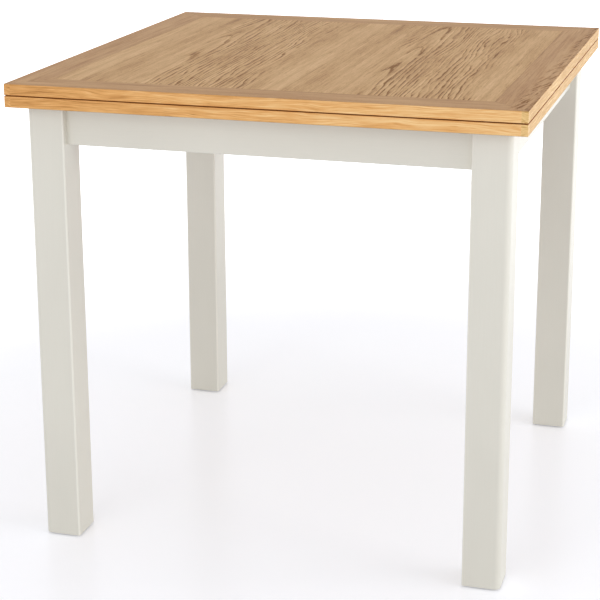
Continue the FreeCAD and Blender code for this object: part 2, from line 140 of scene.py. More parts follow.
# Crown-cut oak veneer under matt lacquer: growth rings cut in long wavering arches up the middle of each
# leaf, plain straight grain at its sides, and the same leaf laid again and again from the right
fieldOak = {
    "firstJoint": -303.3,  # left joint of the first whole leaf
    "leafWidth": 325.0,
    "slip": 37.0,  # how far each next leaf has moved along
    "offcut": (323.5, 324.5, -0.11),  # from where to where the last, narrow leaf begins, and its tone
    "crownPlace": 152.0,  # middle of the crown from the leaf's left joint
    "crownStep": 28.0,  # how much further right it lies in each next leaf
    "crownLean": 0.05,  # and how it leans to the right towards the front
    "crownReach": (98.0, 66.0),  # from its middle to where it begins, and to where it is in full
    "crownEdge": ((40, 120, 9), 2, (0.25, 0.75), (-24, 24)),  # how far its edge strays
    "heart": 62.0,  # how far left of the crown's middle the heart of the log lies
    "ringGap": 6.6,
    "ringDepth": 22.0,  # how far the heart of the log lies below the cut
    "taper": 0.03,  # how much smaller a ring gets for each mm along
    "waver": [((90, 560, 9), 2, (0, 1), (-22, 22)),  # how far the arches waver, coarse to fine
              ((30, 240, 9), 2, (0, 1), (-9, 9)),
              ((13, 110, 9), 2, (0, 1), (-3.2, 3.2)),
              ((6, 34, 9), 2, (0, 1), (-1.3, 1.3))],
    "early": [(0.0, 1.0), (0.12, 0.8), (0.34, 0.0), (0.92, 0.0), (1.0, 1.0)],  # pores over one ring
    "lateWoodHighlight": [(0.0, 0.0), (0.5, 0.0), (0.75, 1.0), (0.92, 1.0), (1.0, 0.0)],  # pale late wood with a painted highlight beside the pores, over one ring
    "ringStrength": ((2.2, 110, 9), 3, (0.38, 0.58), (0.25, 1.2)),  # from ring to ring, and along each
    "dashes": ((2.4, 34, 9), 2, (0.4, 0.54), (0.15, 1)),  # what breaks the pores up
    "patches": ((22, 170, 9), 2, (0.36, 0.6), (0.7, 1.1)),  # where the whole figure is faint or strong
    "bands": [(0.0, 0.44), (0.06, 0.50), (0.11, 0.46), (0.17, 0.57), (0.25, 0.50), (0.29, 0.55),
              (0.34, 0.50), (0.50, 0.50), (0.55, 0.58), (0.68, 0.57), (0.82, 0.52), (0.88, 0.63),
              (1.0, 0.68)],  # tone across one leaf
    "streaks": [((6, 300, 9), 4, (0.25, 0.75), (-0.16, 0.16)),
                ((45, 170, 9), 2, (0.25, 0.75), (-0.13, 0.13)),
                ((1.8, 60, 9), 2, (0.3, 0.7), (-0.13, 0.13)),
                ((1.6, 24, 9), 1, (0.58, 0.68), (0, -0.16)),
                ((0.5, 7, 9), 1, (0.56, 0.66), (0, -0.16))],
    "poreTone": -0.86,
    "lateWoodHighlightTone": 0.16,
    "jointTone": -0.14,
    "jointWidth": 0.9,
    "tones": [(0.0, "#8a5e2e"), (0.3, "#b68955"), (0.5, "#c99f6c"), (0.75, "#d9b17f"), (1.0, "#e7c495")],
    "gloss": 0.12,
    "lacquer": (0.5, 0.64),  # roughness between the pores and in them
    "relief": (0.2, 0.7),
}


def oakFieldMaterial(name, spec):
    material, tree, shader = newMaterial(name, **{"IOR": 1.5, "Specular IOR Level": spec["gloss"]})
    x, y, z = millimetres(tree)
    offset = addNode(tree, "Math", [x, spec["firstJoint"]], operation="SUBTRACT")
    leaf = addNode(tree, "Math", [offset, spec["leafWidth"]], operation="DIVIDE")
    leafIndex = addNode(tree, "Math", [leaf], operation="FLOOR")
    leafShare = addNode(tree, "Math", [leaf], operation="FRACT")
    across = addNode(tree, "Math", [leafShare, spec["leafWidth"]], operation="MULTIPLY")
    along = addNode(tree, "Math", [leafIndex, spec["slip"], y], operation="MULTIPLY_ADD")
    spot = (across, along, z)

    # how much of the crown is here
    middle = addNode(tree, "Math", [leafIndex, spec["crownStep"], spec["crownPlace"]],
                     operation="MULTIPLY_ADD")
    aside = addNode(tree, "Math", [across, middle], operation="SUBTRACT")
    leaning = addNode(tree, "Math", [y, spec["crownLean"], aside], operation="MULTIPLY_ADD")
    fromCrown = addNode(tree, "Math", [leaning], operation="ABSOLUTE")
    edge = addNode(tree, "Math", [fromCrown, grain(tree, spot, *spec["crownEdge"])], operation="ADD")
    crown = addNode(tree, "MapRange", [edge, *spec["crownReach"], 0, 1], interpolation_type="SMOOTHSTEP")

    # growth rings as arches that waver, broken into dashes where the pores are cut
    bend = addNode(tree, "Math", [aside, spec["heart"]], operation="ADD")
    for layer in spec["waver"]:
        bend = addNode(tree, "Math", [bend, grain(tree, spot, *layer)], operation="ADD")
    square = addNode(tree, "Math", [bend, bend, spec["ringDepth"] ** 2], operation="MULTIPLY_ADD")
    radius = addNode(tree, "Math", [square], operation="SQRT")
    climb = addNode(tree, "Math", [along, spec["taper"], radius], operation="MULTIPLY_ADD")
    rings = addNode(tree, "Math", [climb, spec["ringGap"]], operation="DIVIDE")
    ringShare = addNode(tree, "Math", [rings], operation="FRACT")
    ringIndex = addNode(tree, "Math", [rings], operation="FLOOR")
    early = addNode(tree, "ValToRGB", [ringShare], spec["early"])
    lateWoodHighlight = addNode(tree, "ValToRGB", [ringShare], spec["lateWoodHighlight"])
    here = addNode(tree, "Math", [crown, grain(tree, spot, *spec["patches"])], operation="MULTIPLY")
    pores = early
    for share in (grain(tree, spot, *spec["dashes"]),
                  grain(tree, (ringIndex, along, z), *spec["ringStrength"]), here):
        pores = addNode(tree, "Math", [pores, share], operation="MULTIPLY")
    # pale late wood, partly a painted highlight beside the pores as on embossed grain
    lateWoodHighlights = addNode(tree, "Math", [lateWoodHighlight, here], operation="MULTIPLY")

    # tone: soft bands across each leaf, then streaks, rings with pale late wood and a painted highlight
    # beside the pores, and the hairline between two leaves
    tone = addNode(tree, "ValToRGB", [leafShare], spec["bands"])
    fromMiddle = addNode(tree, "Math", [leafShare, 0.5], operation="SUBTRACT")
    fromMiddle = addNode(tree, "Math", [fromMiddle], operation="ABSOLUTE")
    hairline = 0.5 - spec["jointWidth"] / spec["leafWidth"]
    start, end, offcutTone = spec["offcut"]
    for part in (*[grain(tree, spot, *layer) for layer in spec["streaks"]],
                 addNode(tree, "MapRange", [pores, 0, 1, 0, spec["poreTone"]]),
                 addNode(tree, "MapRange", [lateWoodHighlights, 0, 1, 0, spec["lateWoodHighlightTone"]]),
                 addNode(tree, "MapRange", [fromMiddle, hairline, 0.5, 0, spec["jointTone"]]),
                 addNode(tree, "MapRange", [x, start, end, 0, offcutTone])):
        tone = addNode(tree, "Math", [tone, part], operation="ADD")
    addNode(tree, "ValToRGB", [tone], spec["tones"], to=shader.inputs["Base Color"])
    height = addNode(tree, "MapRange", [pores, 0, 1, 1, 0])
    surface(tree, shader, [pores, 0, 1, *spec["lacquer"]], height, spec["relief"])
    return material


# Straight oak veneer under matt lacquer: the mitred border, its grain along each strip; by the right edge
# of the table the rings run out of the strip in fine feathers
borderOak = {
    "lines": ((2.6, 90, 9), 2, (0.5, 0.66), (0, 0.25)),
    "featherInset": (26.0, 16.0),  # from the right edge to where the feathers begin, and are in full
    "featherNarrows": 0.02,  # how their band narrows towards the back
    "featherLean": 0.2,  # how they lean outwards towards the back
    "featherRipple": ((20, 60, 9), 2, (0, 1), (-7, 7)),
    "feathers": ((3.0, 36.0, 9.0), 2, (0.5, 0.64), (0, 0.95)),
    "sweep": ((6, 260, 9), 4, (0.25, 0.75), (0.32, 0.68)),
    "streaks": [((40, 170, 9), 2, (0.25, 0.75), (-0.1, 0.1)),
                ((1.8, 60, 9), 2, (0.3, 0.7), (-0.08, 0.08)),
                ((0.5, 7, 9), 1, (0.56, 0.66), (0, -0.16))],
    "poreTone": -0.42,
    "jointTone": -0.26,
    "jointWidth": 1.2,
    "tones": [(0.0, "#84592e"), (0.3, "#b18456"), (0.5, "#c19668"), (0.75, "#cfa678"), (1.0, "#dcb78b")],
    "gapShadeInset": (1.4, 0.6),  # from the edge to where the painted shade of the gap between the leaves begins, and is darkest
    # colour of the painted shade in the gap between the leaves
    "gapShadeColour": "#9c5412",
    "gloss": 0.12,
    "lacquer": (0.5, 0.64),
    "relief": (0.15, 0.7),
}


def oakBorderMaterial(name, spec):
    material, tree, shader = newMaterial(name, **{"IOR": 1.5, "Specular IOR Level": spec["gloss"]})
    x, y, z = millimetres(tree)
    wide = addNode(tree, "Math", [x], operation="ABSOLUTE")
    deep = addNode(tree, "Math", [y], operation="ABSOLUTE")
    onSide = addNode(tree, "Math", [wide, deep], operation="GREATER_THAN")
    outward = addNode(tree, "Math", [wide, deep], operation="MAXIMUM")
    along = addNode(tree, "Mix", [onSide, None, x, y])
    across = addNode(tree, "Mix", [onSide, None, y, x])
    spot = (across, along, z)

    # straight lines of pores, and feathers in their place by the right edge
    edge = addNode(tree, "Math", [y, -spec["featherNarrows"], x], operation="MULTIPLY_ADD")
    band = [topEdge - inset for inset in spec["featherInset"]]
    feathered = addNode(tree, "MapRange", [edge, *band, 0, 1])
    leaning = addNode(tree, "Math", [y, -spec["featherLean"], x], operation="MULTIPLY_ADD")
    leaning = addNode(tree, "Math", [leaning, grain(tree, spot, *spec["featherRipple"])], operation="ADD")
    feathers = grain(tree, (leaning, y, z), *spec["feathers"])
    pores = addNode(tree, "Mix", [feathered, None, grain(tree, spot, *spec["lines"]), feathers])

    # tone, with dark hairlines along the mitres and beside the field
    fromMitre = addNode(tree, "Math", [wide, deep], operation="SUBTRACT")
    fromMitre = addNode(tree, "Math", [fromMitre], operation="ABSOLUTE")
    fieldEdge = boxOf("upper_face_field")[1].x
    joint = spec["jointWidth"]
    tone = grain(tree, spot, *spec["sweep"])
    for part in (*[grain(tree, spot, *layer) for layer in spec["streaks"]],
                 addNode(tree, "MapRange", [pores, 0, 1, 0, spec["poreTone"]]),
                 addNode(tree, "MapRange", [fromMitre, 0, joint, spec["jointTone"], 0]),
                 addNode(tree, "MapRange", [outward, fieldEdge, fieldEdge + joint, spec["jointTone"], 0])):
        tone = addNode(tree, "Math", [tone, part], operation="ADD")
    face = addNode(tree, "ValToRGB", [tone], spec["tones"])

    # painted shade: a brown band along the arrises of the inner faces, which lie below the upper core,
    # stands in for the shade inside the gap between the folded leaves
    inside = addNode(tree, "Math", [z, middleOf("upper_core").z], operation="LESS_THAN")
    band = [topEdge - inset for inset in spec["gapShadeInset"]]
    gapShadeBand = addNode(tree, "MapRange", [outward, *band, 0, 1])
    paintedGapShade = addNode(tree, "Math", [inside, gapShadeBand], operation="MULTIPLY")
    mixed = addNode(tree, "Mix", {0: paintedGapShade, 6: face, 7: linear(spec["gapShadeColour"])}, data_type="RGBA")
    tree.links.new(mixed.outputs[2], shader.inputs["Base Color"])
    height = addNode(tree, "MapRange", [pores, 0, 1, 1, 0])
    surface(tree, shader, [pores, 0, 1, *spec["lacquer"]], height, spec["relief"])
    return material


# Solid oak lipping, planed and lacquered: golden, with pale and dark streaks along the edge and fine
# ring lines where an end shows
goldenOak = [(0.0, "#ae7436"), (0.3, "#d69a55"), (0.6, "#ecb16a"), (1.0, "#fed394")]
lippingOak = {
    "rise": ((40, 130, 30), 2, (0, 1), (-9, 9)),  # how far the grain climbs and falls
    "sweep": ((20, 260, 7), 2, (0.3, 0.7), (0.36, 0.64)),
    "streak": ((20, 80, 2), 3, (0.25, 0.75), (-0.27, 0.27)),
    "fine": ((9, 40, 1.1), 2, (0.25, 0.75), (-0.28, 0.28)),
    "pores": ((5, 22, 1.0), 1, (0.6, 0.7), (0, -0.2)),
    # over what length from its left or front end a lipping drifts in tone, and from what to what
    "drift": {"front": (810.0, -0.14, 0.36), "left": (65.0, -0.08, 0.0), "right": (20.0, 0.42, 0.06)},
    "tones": {"front": goldenOak, "left": goldenOak,
              "right": [(0.0, "#b58240"), (0.3, "#c9974c"), (0.6, "#d6a962"), (1.0, "#f8d190")]},
    "gloss": 0.3,
    "lacquer": (0.5, 0.42),
    "relief": (0.08, 0.5),
}


def oakLippingMaterial(name, spec, side):
    material, tree, shader = newMaterial(name, **{"IOR": 1.5, "Specular IOR Level": spec["gloss"]})
    x, y, z = millimetres(tree)
    across, along = (y, x) if side == "front" else (x, y)
    level = addNode(tree, "Math", [z, grain(tree, (across, along, z), *spec["rise"])], operation="ADD")
    spot = (across, along, level)
    fine = grain(tree, spot, *spec["fine"])
    pores = grain(tree, spot, *spec["pores"])
    length, *drift = spec["drift"][side]
    tone = grain(tree, spot, *spec["sweep"])
    for part in (grain(tree, spot, *spec["streak"]), fine, pores,
                 addNode(tree, "MapRange", [along, -topEdge, length - topEdge, *drift])):
        tone = addNode(tree, "Math", [tone, part], operation="ADD")
    addNode(tree, "ValToRGB", [tone], spec["tones"][side], to=shader.inputs["Base Color"])
    height = addNode(tree, "Math", [fine, pores], operation="ADD")
    fineEnds = spec["fine"][-1]
    surface(tree, shader, [fine, *fineEnds, *spec["lacquer"]], height, spec["relief"])
    return material


# Sprayed satin paint on hardwood: warm stone, a faint orange peel and a trace of the grain beneath; on the
# legs' eased arrises a paler colour is a painted highlight, where light catches the rounded edge
stonePaint = {
    "colour": "#e9e6da",
    "shade": "#e2dfd3",
    # paler colour of the painted highlight on the legs' arrises
    "arrisHighlight": "#f2efe4",
    # off a leg's square corner, both ways added: where the painted highlight begins, and is brightest
    "highlightInset": (3.0, 2.0),
    "fibres": ((1.3, 55.0, 1.3), 2, (0.3, 0.7), (0, 1)),
    "peel": ((1.6, 1.6, 1.6), 2, (0.3, 0.7), (0, 1)),
    "clouds": ((120, 300, 120), 2, (0.3, 0.7), (0, 1)),
    "fibreShare": 0.2,  # of the fibres beside the clouds, in the colour
    "peelShare": 0.4,  # of the peel beside the fibres, in the relief
    "satin": (0.34, 0.42),
    "relief": (0.015, 0.5),
}


def stonePaintMaterial(name, spec, grainAxis):
    material, tree, shader = newMaterial(name, IOR=1.5)
    x, y, z = millimetres(tree)
    spot = {"X": (y, x, z), "Y": (x, y, z), "Z": (x, z, y)}[grainAxis]
    fibres = grain(tree, spot, *spec["fibres"])
    peel = grain(tree, spot, *spec["peel"])
    shade = addNode(tree, "Mix", [spec["fibreShare"], None, grain(tree, spot, *spec["clouds"]), fibres])
    face = addNode(tree, "ValToRGB", [shade], [(0.0, spec["shade"]), (1.0, spec["colour"])])
    colour = face.outputs[0]
    if grainAxis == "Z":
        # a leg: how far off its middle, both ways added; at a square corner that is the leg's width
        low, high = boxOf("leg_front_right")
        band = [high.x - low.x - inset for inset in spec["highlightInset"]]
        off = 0.0
        for way in (x, y):
            out = addNode(tree, "Math", [way], operation="ABSOLUTE")
            out = addNode(tree, "Math", [out, middleOf("leg_front_right").x], operation="SUBTRACT")
            out = addNode(tree, "Math", [out], operation="ABSOLUTE")
            off = addNode(tree, "Math", [out, off], operation="ADD")
        # painted highlight: along the eased arrises of the legs the colour turns paler, where light would
        # catch the rounded edge
        highlighted = addNode(tree, "MapRange", [off, *band, 0, 1])
        highlightMix = addNode(tree, "Mix", {0: highlighted, 6: face, 7: linear(spec["arrisHighlight"])}, data_type="RGBA")
        colour = highlightMix.outputs[2]
    tree.links.new(colour, shader.inputs["Base Color"])
    height = addNode(tree, "Mix", [spec["peelShare"], None, fibres, peel])
    surface(tree, shader, [peel, 0, 1, *spec["satin"]], height, spec["relief"])
    return material


# Beech, sawn and sanded bare: pinkish straw with short brown flecks along the grain
beech = {
    "streaks": ((7, 160, 7), 3, (0.25, 0.75), (0.15, 0.85)),
    "flecks": ((0.9, 5, 0.9), 1, (0.62, 0.72), (0, -0.35)),
    "tones": [(0.0, "#b58a63"), (0.5, "#d3ad86"), (1.0, "#e2c29d")],
    "roughness": (0.6, 0.7),
    "relief": (0.05, 0.5),
}

# Balancing veneer under the lower leaf: plain straight oak, sealed but unpolished, with open pores
backingOak = {
    "streaks": ((6, 340, 9), 4, (0.25, 0.75), (0.1, 0.9)),
    "flecks": ((1.6, 14, 3), 1, (0.58, 0.7), (0, -0.25)),
    "tones": [(0.0, "#94704e"), (0.5, "#b8946c"), (1.0, "#caa982")],
    "roughness": (0.62, 0.74),
    "relief": (0.06, 0.5),
}


def bareWoodMaterial(name, spec, alongX=None, alongY=None):
    # the grain lies along Y, or along the direction given
    material, tree, shader = newMaterial(name, IOR=1.5)
    x, y, z = millimetres(tree)
    across, along = x, y
    if alongX is not None:
        length = math.hypot(alongX, alongY)
        alongX, alongY = alongX / length, alongY / length
        along = addNode(tree, "Math", [y, alongY], operation="MULTIPLY")
        along = addNode(tree, "Math", [x, alongX, along], operation="MULTIPLY_ADD")
        across = addNode(tree, "Math", [x, -alongY], operation="MULTIPLY")
        across = addNode(tree, "Math", [y, alongX, across], operation="MULTIPLY_ADD")
    spot = (across, along, z)
    streaks = grain(tree, spot, *spec["streaks"])
    flecks = grain(tree, spot, *spec["flecks"])
    tone = addNode(tree, "Math", [streaks, flecks], operation="ADD")
    addNode(tree, "ValToRGB", [tone], spec["tones"], to=shader.inputs["Base Color"])
    streakEnds = spec["streaks"][-1]
    surface(tree, shader, [streaks, *streakEnds, *spec["roughness"]], flecks, spec["relief"])
    return material


# Zinc-plated steel: bright blue-grey with faint cloudy spots from the plating bath and fine scratches
zincPlate = {
    "clouds": ((6, 6, 6), 3, (0.3, 0.7), (0, 1)),
    "scratches": ((0.5, 9, 0.5), 2, (0.3, 0.7), (0, 1)),
    "scratchAxis": "Y",
    "tones": [(0.0, "#a6a9ad"), (1.0, "#c9ccd0")],
    "roughness": (0.24, 0.42),
    "relief": (0.005, 0.4),
}

# Cast and filed brass: warm yellow, with fine file lines across and a little tarnish
filedBrass = {
    "clouds": ((11, 11, 11), 3, (0.3, 0.7), (0, 1)),
    "scratches": ((0.4, 14, 0.4), 2, (0.3, 0.7), (0, 1)),
    "scratchAxis": "X",
    "tones": [(0.0, "#bb984f"), (1.0, "#d2b268")],
    "roughness": (0.22, 0.4),
    "relief": (0.005, 0.5),
}


def metalMaterial(name, spec):
    material, tree, shader = newMaterial(name, Metallic=1.0)
    x, y, z = millimetres(tree)
    clouds = grain(tree, (x, y, z), *spec["clouds"])
    scratches = grain(tree, (y, x, z) if spec["scratchAxis"] == "X" else (x, y, z), *spec["scratches"])
    addNode(tree, "ValToRGB", [clouds], spec["tones"], to=shader.inputs["Base Color"])
    surface(tree, shader, [scratches, 0, 1, *spec["roughness"]], scratches, spec["relief"])
    return material


# Moulded nylon: milky, with the faint sparkle of a spark-eroded mould
naturalNylon = {
    "texture": ((1.5, 1.5, 1.5), 2, (0.3, 0.7), (0, 1)),
    "tones": [(0.0, "#d9d5c8"), (1.0, "#e8e5db")],
    "ior": 1.53,
    "roughness": (0.42, 0.55),
    "relief": (0.01, 0.5),
}

# Moulded polypropylene: an even dark grey with the same sparkle
greyPolypropylene = {
    "texture": ((1.2, 1.2, 1.2), 2, (0.3, 0.7), (0, 1)),
    "tones": [(0.0, "#4a4a4b"), (1.0, "#5d5d5e")],
    "ior": 1.53,
    "roughness": (0.42, 0.55),
    "relief": (0.01, 0.5),
}

# Medium-density fibre board: sawn brown pulp, flecked with pale fibres
fibreBoard = {
    "texture": ((1.2, 1.2, 0.6), 4, (0.3, 0.7), (0, 1)),
    "tones": [(0.0, "#7d5f43"), (0.5, "#9c7c5a"), (1.0, "#b89a76")],
    "ior": 1.45,
    "roughness": (0.8, 0.95),
    "relief": (0.08, 0.6),
}


def evenMaterial(name, spec):
    # one texture for tone, roughness and relief
    material, tree, shader = newMaterial(name, IOR=spec["ior"])
    texture = grain(tree, millimetres(tree), *spec["texture"])
    addNode(tree, "ValToRGB", [texture], spec["tones"], to=shader.inputs["Base Color"])
    surface(tree, shader, [texture, 0, 1, *spec["roughness"]], texture, spec["relief"])
    return material


# Pressed wool felt: grey-brown and dull, with loose fibres lying every way
woolFelt = {
    "fibres": ((0.7, 4, 0.7), 2, (0.25, 0.75), (0, 1)),
    "tones": [(0.2, "#4d463e"), (0.9, "#857b6e")],
    "bloom": (0.4, 0.6),  # how much of the wool's soft sheen, and how rough it is
    "roughness": (0.9, 1.0),
    "relief": (0.2, 0.7),
}


def feltMaterial(name, spec):
    weight, roughness = spec["bloom"]
    material, tree, shader = newMaterial(name, **{"Sheen Weight": weight, "Sheen Roughness": roughness})
    x, y, z = millimetres(tree)
    lengthwise = grain(tree, (x, y, z), *spec["fibres"])
    crosswise = grain(tree, (y, x, z), *spec["fibres"])
    fibres = addNode(tree, "Math", [lengthwise, crosswise], operation="MAXIMUM")
    addNode(tree, "ValToRGB", [fibres], spec["tones"], to=shader.inputs["Base Color"])
    surface(tree, shader, [fibres, 0, 1, *spec["roughness"]], fibres, spec["relief"])
    return material


def dress(material, *names):
    for name in names:
        piece = nodes[name]
        piece.data.materials.clear()
        piece.data.materials.append(material)


leaves = ("upper", "lower")
corners = ("front_left", "front_right", "back_left", "back_right")
dress(oakFieldMaterial("crownCutOakVeneer", fieldOak),
      "upper_face_field", "upper_inner_field", "lower_inner_field")
dress(oakBorderMaterial("straightOakVeneer", borderOak),
      "upper_face_border", "upper_inner_border", "lower_inner_border")
dress(oakLippingMaterial("solidOakLippingFront", lippingOak, "front"),
      *[leaf + "_lipping_" + side for leaf in leaves for side in ("front", "back")])
dress(oakLippingMaterial("solidOakLippingLeft", lippingOak, "left"),
      *[leaf + "_lipping_left" for leaf in leaves])
dress(oakLippingMaterial("solidOakLippingRight", lippingOak, "right"),
      *[leaf + "_lipping_right" for leaf in leaves])
dress(stonePaintMaterial("satinPaintedLegs", stonePaint, "Z"), *["leg_" + corner for corner in corners])
dress(stonePaintMaterial("satinPaintedAprons", stonePaint, "X"), "apron_front", "apron_back")
dress(stonePaintMaterial("satinPaintedSideAprons", stonePaint, "Y"), "apron_left", "apron_right")
dress(bareWoodMaterial("beechRail", beech, 0, 1), "pivot_rail", "stop_block")
dress(bareWoodMaterial("beechCleats", beech, 1, 0), "rail_cleat_front", "rail_cleat_back", "apron_dowels")
dress(bareWoodMaterial("beechBlocksRising", beech, 1, 1),
      "corner_block_front_right", "corner_block_back_left")
dress(bareWoodMaterial("beechBlocksFalling", beech, 1, -1),
      "corner_block_front_left", "corner_block_back_right")
zinc = metalMaterial("zincPlatedSteel", zincPlate)
dress(zinc, "hanger_bolts", "hanger_bolt_washers", "pivot_washer", "stop_pin", "swivel_plate")
brass = metalMaterial("filedBrass", filedBrass)
dress(brass, "hinge_links", *[leaf + "_hinge_" + part for leaf in leaves for part in ("pins", "plates")])
nylon = evenMaterial("naturalNylon", naturalNylon)
dress(nylon, "pivot_bush", "pivot_spacer")
dress(evenMaterial("greyPolypropylene", greyPolypropylene), "foot_glides")
dress(evenMaterial("fibreBoard", fibreBoard), "upper_core", "lower_core")
dress(bareWoodMaterial("sealedOakBacking", backingOak), "lower_balancer")
felt = feltMaterial("pressedWoolFelt", woolFelt)
print("finishes made:", len(bpy.data.materials))


# small parts, modelled once and copied

overrun = 1.0  # how far a cutter stands out of what it cuts, in mm
softEdge = 35.0  # edges that turn by less are shaded smooth, in degrees
levelFace = 0.5  # a face counts as level where the Z of its normal is over this


def turned(name, steps, sides):
    # a turned blank: a disc drawn out along Z through each (radius, height) in mm
    bpy.ops.object.select_all(action="DESELECT")
    radius, height = steps[0]
    bpy.ops.mesh.primitive_circle_add(vertices=sides, radius=radius * mm, fill_type="NGON",
                                      location=(0, 0, height * mm))
    piece = bpy.context.object
    piece.name = name
    bpy.ops.object.transform_apply(location=True, rotation=True, scale=True)
    bpy.ops.object.mode_set(mode="EDIT")
    bpy.ops.mesh.select_all(action="SELECT")
    for nextRadius, nextHeight in steps[1:]:
        share = nextRadius / radius
        rise = (0, 0, (nextHeight - height) * mm)
        bpy.ops.mesh.extrude_region_move(TRANSFORM_OT_translate={"value": rise})
        bpy.ops.transform.resize(value=(share, share, 1), center_override=(0, 0, 0))
        radius, height = nextRadius, nextHeight
    bpy.ops.mesh.select_all(action="SELECT")
    bpy.ops.mesh.normals_make_consistent(inside=False)
    bpy.ops.object.mode_set(mode="OBJECT")
    return piece


def carve(piece, tool, operation="DIFFERENCE"):
    # cut one shape with another, which is used up
    bpy.ops.object.select_all(action="DESELECT")
    piece.select_set(True)
    bpy.context.view_layer.objects.active = piece
    cut = piece.modifiers.new("carve", "BOOLEAN")
    cut.object, cut.operation, cut.solver = tool, operation, "EXACT"
    bpy.ops.object.modifier_apply(modifier=cut.name)
    bpy.data.objects.remove(tool)


def setOut(master, name, places, body, slot, material, *replaced):
    # a copy of the master at every place, in mm, looking along its aim and turned by spin; joined in one
    copies = []
    for place, aim, spin in places:
        copy = master.copy()
        copy.data = master.data.copy()
        bpy.context.scene.collection.objects.link(copy)
        look = Vector((0, 0, 1)).rotation_difference(Vector(aim)).to_matrix().to_4x4()
        turn = Matrix.Rotation(math.radians(spin), 4, "Z")
        copy.matrix_world = Matrix.Translation(Vector(place) * mm) @ look @ turn
        copies.append(copy)
    bpy.ops.object.select_all(action="DESELECT")
    for copy in copies:
        copy.select_set(True)
    bpy.context.view_layer.objects.active = copies[0]
    if len(copies) > 1:
        bpy.ops.object.join()
    piece = bpy.context.object
    piece.name = name
    bpy.ops.object.transform_apply(location=True, rotation=True, scale=True)
    bpy.ops.object.shade_smooth_by_angle(angle=math.radians(softEdge))
    piece.data.materials.clear()
    piece.data.materials.append(material)
    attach(piece, body)
    if replaced:
        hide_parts(*replaced)
    return piece


# countersunk screws: slotted brass in the hinges, cross-recessed zinc elsewhere
screwSpecs = {
    "hingeScrew": {"head": 3.5, "sink": 2.0, "shank": 1.7, "length": 13.0, "tip": 3.0,
                   "arms": (0,), "arm": 9.0, "slot": 0.8, "recess": 0.9},
    "plateScrew": {"head": 4.2, "sink": 2.6, "shank": 2.0, "length": 14.0, "tip": 3.0,
                   "arms": (0, 90), "arm": 4.6, "slot": 1.1, "recess": 1.8},
    "blockScrew": {"head": 4.0, "sink": 3.0, "shank": 2.0, "length": 25.0, "tip": 4.0,
                   "arms": (0, 90), "arm": 4.4, "slot": 1.1, "recess": 1.8},
    "cleatScrew": {"head": 4.0, "sink": 3.0, "shank": 2.0, "length": 32.0, "tip": 4.0,
                   "arms": (0, 90), "arm": 4.4, "slot": 1.1, "recess": 1.8},
}
screwShape = {
    "sides": 24,
    "pointShare": 0.1,  # of the shank, left at the tip
    "recessShares": (0.6, 0.8, 1.0),  # of a recess's length, width and depth, left at its deep end
}


def modelScrew(name, spec):
    shank, length = spec["shank"], spec["length"]
    screw = turned(name, [(spec["head"], 0), (shank, spec["sink"]), (shank, length - spec["tip"]),
                          (shank * screwShape["pointShare"], length)], screwShape["sides"])
    for arm in spec["arms"]:
        bpy.ops.object.select_all(action="DESELECT")
        bpy.ops.mesh.primitive_cube_add(size=mm)
        tool = bpy.context.object
        bpy.ops.object.mode_set(mode="EDIT")
        bpy.ops.transform.resize(value=(spec["arm"], spec["slot"], 2 * spec["recess"]),
                                 center_override=(0, 0, 0))
        bpy.ops.mesh.select_all(action="DESELECT")
        bpy.ops.object.mode_set(mode="OBJECT")
        for face in tool.data.polygons:
            face.select = face.normal.z > levelFace  # the deep end of the cutter is narrowed
        bpy.ops.object.mode_set(mode="EDIT")
        bpy.ops.transform.resize(value=screwShape["recessShares"], center_override=(0, 0, 0))
        bpy.ops.object.mode_set(mode="OBJECT")
        tool.rotation_euler.z = math.radians(arm)
        bpy.context.view_layer.update()
        carve(screw, tool)
    return screw


screws = {name: modelScrew(name, spec) for name, spec in screwSpecs.items()}

# where the screws sit comes from the frame; these are left, in mm, and how far each is turned, in degrees
screwPlaces = {
    "hingePair": 12.0,  # each side of a hinge's middle
    "hingeSpins": {"lower": 0.6, "upper": 0.4},  # for each mm from the middle of the table
    "plateSpins": (1.0, 2.0),  # for each mm right of the pivot, and behind it
    "blockAside": 270.4,  # from the middle of the table, along the apron that the screw holds
    "blockSpins": (25.0, 10.0),  # in the side aprons, and in the front and back ones
    "cleatPair": 17.0,  # each side of a cleat's middle
    "cleatSpin": 15.0,
    "stopPair": 8.4,  # each side of the stop block's middle
    "stopSpin": 3.0,  # for each mm from that middle
}

for leaf in ("lower", "upper"):
    low, high = boxOf(leaf + "_hinge_screws")
    pair = screwPlaces["hingePair"]
    outer = high.x - screwSpecs["hingeScrew"]["head"] - pair
    row = [middle + side for middle in (-outer, 0.0, outer) for side in (-pair, pair)]
    line = (low.y + high.y) / 2
    seat, aim = (low.z, (0, 0, 1)) if leaf == "upper" else (high.z, (0, 0, -1))
    spin = screwPlaces["hingeSpins"][leaf]
    setOut(screws["hingeScrew"], leaf + "HingeScrews", [((x, line, seat), aim, spin * x) for x in row],
           leaf + "_leaf", "hinge_brass", brass, leaf + "_hinge_screws")

pivot = middleOf("swivel_plate")
low, high = boxOf("swivel_plate_screws")
reach = (high.x - low.x) / 2 - screwSpecs["plateScrew"]["head"]
spinX, spinY = screwPlaces["plateSpins"]
setOut(screws["plateScrew"], "swivelPlateScrews",
       [((pivot.x + x, pivot.y + y, low.z), (0, 0, 1), spinX * x + spinY * y)
        for x in (-reach, reach) for y in (-reach, reach)],
       "lower_leaf", "zinc_steel", zinc, "swivel_plate_screws")

seat = boxOf("corner_block_screws")[1].x - screwSpecs["blockScrew"]["length"]
blockLevel = middleOf("corner_block_screws").z
aside = screwPlaces["blockAside"]
spinX, spinY = screwPlaces["blockSpins"]
blockPlaces = []
for sideX in (-1, 1):
    for sideY in (-1, 1):
        blockPlaces.append(((sideX * seat, sideY * aside, blockLevel), (sideX, 0, 0), spinX * sideY))
        blockPlaces.append(((sideX * aside, sideY * seat, blockLevel), (0, sideY, 0), spinY * sideX))
setOut(screws["blockScrew"], "cornerBlockScrews", blockPlaces,
       "frame", "zinc_steel", zinc, "corner_block_screws")

